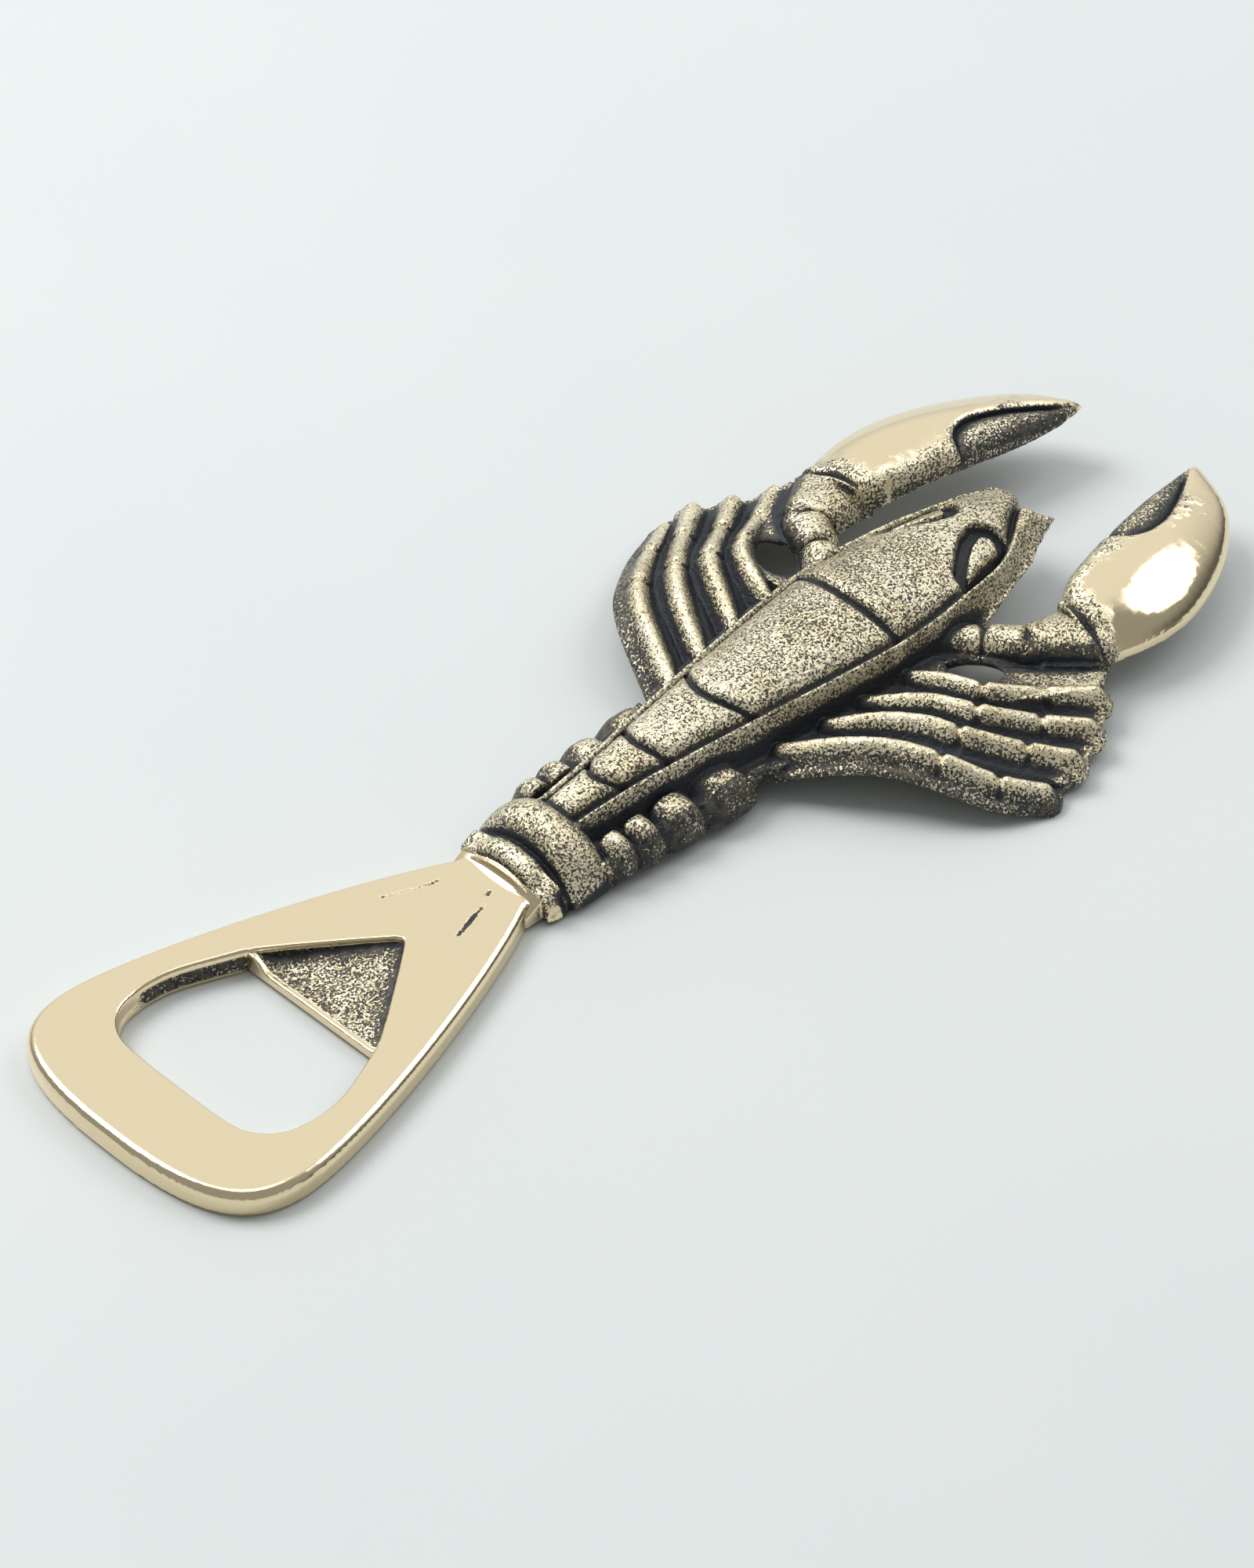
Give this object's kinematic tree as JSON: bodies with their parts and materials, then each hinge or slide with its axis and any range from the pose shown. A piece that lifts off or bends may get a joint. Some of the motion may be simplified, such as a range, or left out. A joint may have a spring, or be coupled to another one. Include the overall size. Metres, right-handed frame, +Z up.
{
  "type": "lobster-shaped bottle opener",
  "caption": "Cast brass bottle opener: a flat polished handle with a cap mouth and lifting tooth, and a lobster in relief with spread claws and fanned legs.",
  "frame": {"origin": "middle of the object's outline, on the table that it lies on", "axes": "+X from the handle end to the claw tips, +Y towards the lobster's left side, +Z up"},
  "size_m": [0.1794, 0.0748, 0.014],
  "materials": {
    "polished_brass": "buffed pale brass, soft mirror with fine buffing lines",
    "antique_brass": "sand-cast brass, relieved on its high places, blue-black patina in its pits and grooves"
  },
  "bodies": {
    "root": {"opener_plate": "polished_brass", "cap_tooth": "antique_brass", "neck_collar": "antique_brass", "tail_collar": "antique_brass", "trunk": "antique_brass", "tail_plate_1": "antique_brass", "tail_plate_2": "antique_brass", "tail_plate_3": "antique_brass", "thorax_plate": "antique_brass", "head_shield": "antique_brass", "left_margin": "antique_brass", "right_margin": "antique_brass", "left_eye": "antique_brass", "right_eye": "antique_brass", "left_prong": "antique_brass", "right_prong": "antique_brass", "left_knob_1": "antique_brass", "left_knob_2": "antique_brass", "left_knob_3": "antique_brass", "left_knob_4": "antique_brass", "right_knob_1": "antique_brass", "right_knob_2": "antique_brass", "right_knob_3": "antique_brass", "right_knob_4": "antique_brass", "left_leg_web": "antique_brass", "right_leg_web": "antique_brass", "left_leg_1": "antique_brass", "left_leg_2": "antique_brass", "left_leg_3": "antique_brass", "left_leg_4": "antique_brass", "right_leg_1": "antique_brass", "right_leg_2": "antique_brass", "right_leg_3": "antique_brass", "right_leg_4": "antique_brass", "left_upper_arm": "antique_brass", "left_forearm": "antique_brass", "left_wrist": "antique_brass", "left_palm": "polished_brass", "left_finger": "antique_brass", "right_upper_arm": "antique_brass", "right_forearm": "antique_brass", "right_wrist": "antique_brass", "right_palm": "polished_brass", "right_finger": "antique_brass"}
  },
  "joints": []
}
